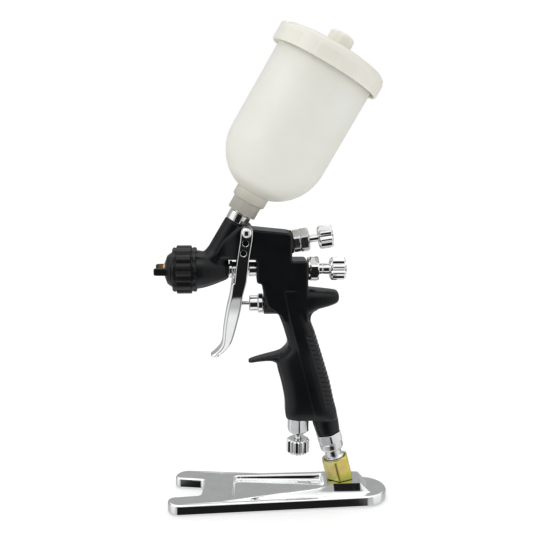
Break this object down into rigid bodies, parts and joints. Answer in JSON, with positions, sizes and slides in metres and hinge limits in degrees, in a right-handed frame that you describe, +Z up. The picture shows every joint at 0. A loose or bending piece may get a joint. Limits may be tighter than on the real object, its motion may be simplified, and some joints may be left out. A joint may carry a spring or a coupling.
{
  "type": "gravity feed spray gun on a stand",
  "caption": "Gravity feed spray gun with tilted round cup, curved trigger and knobs, screwed by its air inlet to a low forked stand.",
  "frame": {"origin": "middle of the object's box, on the surface that the stand rests on", "axes": "+Z up; -X towards the spray nozzle and the open fork of the stand, +X towards the rear knobs; Y across, the object being nearly symmetric about Y = 0"},
  "size_m": [0.1452, 0.0706, 0.2965],
  "materials": {
    "chrome": "polished chrome plate",
    "zinc_yellow": "yellow passivated zinc plate, faintly iridescent",
    "black_anodised": "satin black anodised",
    "black_plastic": "satin moulded",
    "satin_steel": "turned, satin",
    "brass": "turned",
    "cup_white": "translucent warm white moulding",
    "seal_white": "dull moulded",
    "spring_steel": "drawn wire"
  },
  "bodies": {
    "stand": {"stand_base": "chrome", "coupling_nut": "zinc_yellow"},
    "gun": {"gun_body": "black_anodised", "air_inlet_nipple": "satin_steel", "fluid_tip": "satin_steel", "air_baffle": "brass", "needle_packing": "seal_white", "packing_nut": "chrome", "needle_bush": "chrome", "pattern_bush": "satin_steel", "airflow_bush": "satin_steel", "air_valve_gland": "chrome", "trigger_stud": "chrome", "trigger_screw": "chrome", "cup_adaptor": "chrome", "needle_spring": "spring_steel", "air_valve_spring": "spring_steel"},
    "cap_ring": {"air_cap_ring": "black_plastic"},
    "cap": {"air_cap": "black_anodised"},
    "needle": {"fluid_needle": "satin_steel", "needle_collar": "chrome"},
    "fluid_control": {"fluid_knob": "chrome"},
    "pattern_control": {"pattern_stem": "chrome", "pattern_knob": "chrome"},
    "airflow_control": {"airflow_stem": "chrome", "airflow_knob": "chrome"},
    "air_valve": {"air_valve_stem": "satin_steel"},
    "trigger": {"trigger": "chrome"},
    "cup": {"cup_body": "cup_white", "cup_filter": "seal_white"},
    "lid": {"cup_lid": "cup_white", "lid_seal": "seal_white"},
    "vent": {"vent_knob": "cup_white"}
  },
  "joints": [
    {"name": "gun_swivel", "type": "hinge", "parent": "stand", "child": "gun", "pos_m": [0.0356, 0, 0.042], "axis": [-0.2419, 0, 0.9703], "continuous": true},
    {"name": "trigger_pull", "type": "hinge", "parent": "gun", "child": "trigger", "pos_m": [-0.0166, 0, 0.1738], "axis": [0, -1, 0], "range_deg": [0, 8], "stiffness_Nm_per_rad": 2, "springref_deg": -5.73},
    {"name": "needle_slide", "type": "slide", "parent": "gun", "child": "needle", "axis": [1, 0, 0], "range_m": [0, 0.0036], "deforming": ["needle_spring"]},
    {"name": "air_valve_slide", "type": "slide", "parent": "gun", "child": "air_valve", "axis": [1, 0, 0], "range_m": [0, 0.0066], "deforming": ["air_valve_spring"]},
    {"name": "air_cap_turn", "type": "hinge", "parent": "gun", "child": "cap", "pos_m": [-0.058, 0, 0.1498], "axis": [1, 0, 0], "range_deg": [-90, 90]},
    {"name": "air_cap_ring_turn", "type": "hinge", "parent": "gun", "child": "cap_ring", "pos_m": [-0.054, 0, 0.1498], "axis": [1, 0, 0], "continuous": true},
    {"name": "fluid_knob_turn", "type": "hinge", "parent": "gun", "child": "fluid_control", "pos_m": [0.036, 0, 0.1498], "axis": [1, 0, 0], "continuous": true},
    {"name": "pattern_knob_turn", "type": "hinge", "parent": "gun", "child": "pattern_control", "pos_m": [0.0108, 0, 0.1667], "axis": [0.9903, 0, 0.1392], "continuous": true},
    {"name": "airflow_knob_turn", "type": "hinge", "parent": "gun", "child": "airflow_control", "pos_m": [0.0158, 0, 0.0541], "axis": [0, 0, -1], "continuous": true},
    {"name": "cup_turn", "type": "hinge", "parent": "gun", "child": "cup", "pos_m": [-0.0204, 0, 0.18315], "axis": [0.5015, 0, 0.8652], "continuous": true},
    {"name": "lid_lift", "type": "slide", "parent": "cup", "child": "lid", "axis": [0.5015, 0, 0.8652], "range_m": [0, 0.05]},
    {"name": "vent_knob_turn", "type": "hinge", "parent": "lid", "child": "vent", "pos_m": [0.03577, 0, 0.28005], "axis": [0.5015, 0, 0.8652], "continuous": true}
  ],
  "couplings": [
    {"joint": "needle_slide", "follows": "trigger_pull", "m_per_rad": 0.024},
    {"joint": "air_valve_slide", "follows": "trigger_pull", "m_per_rad": 0.0454}
  ]
}
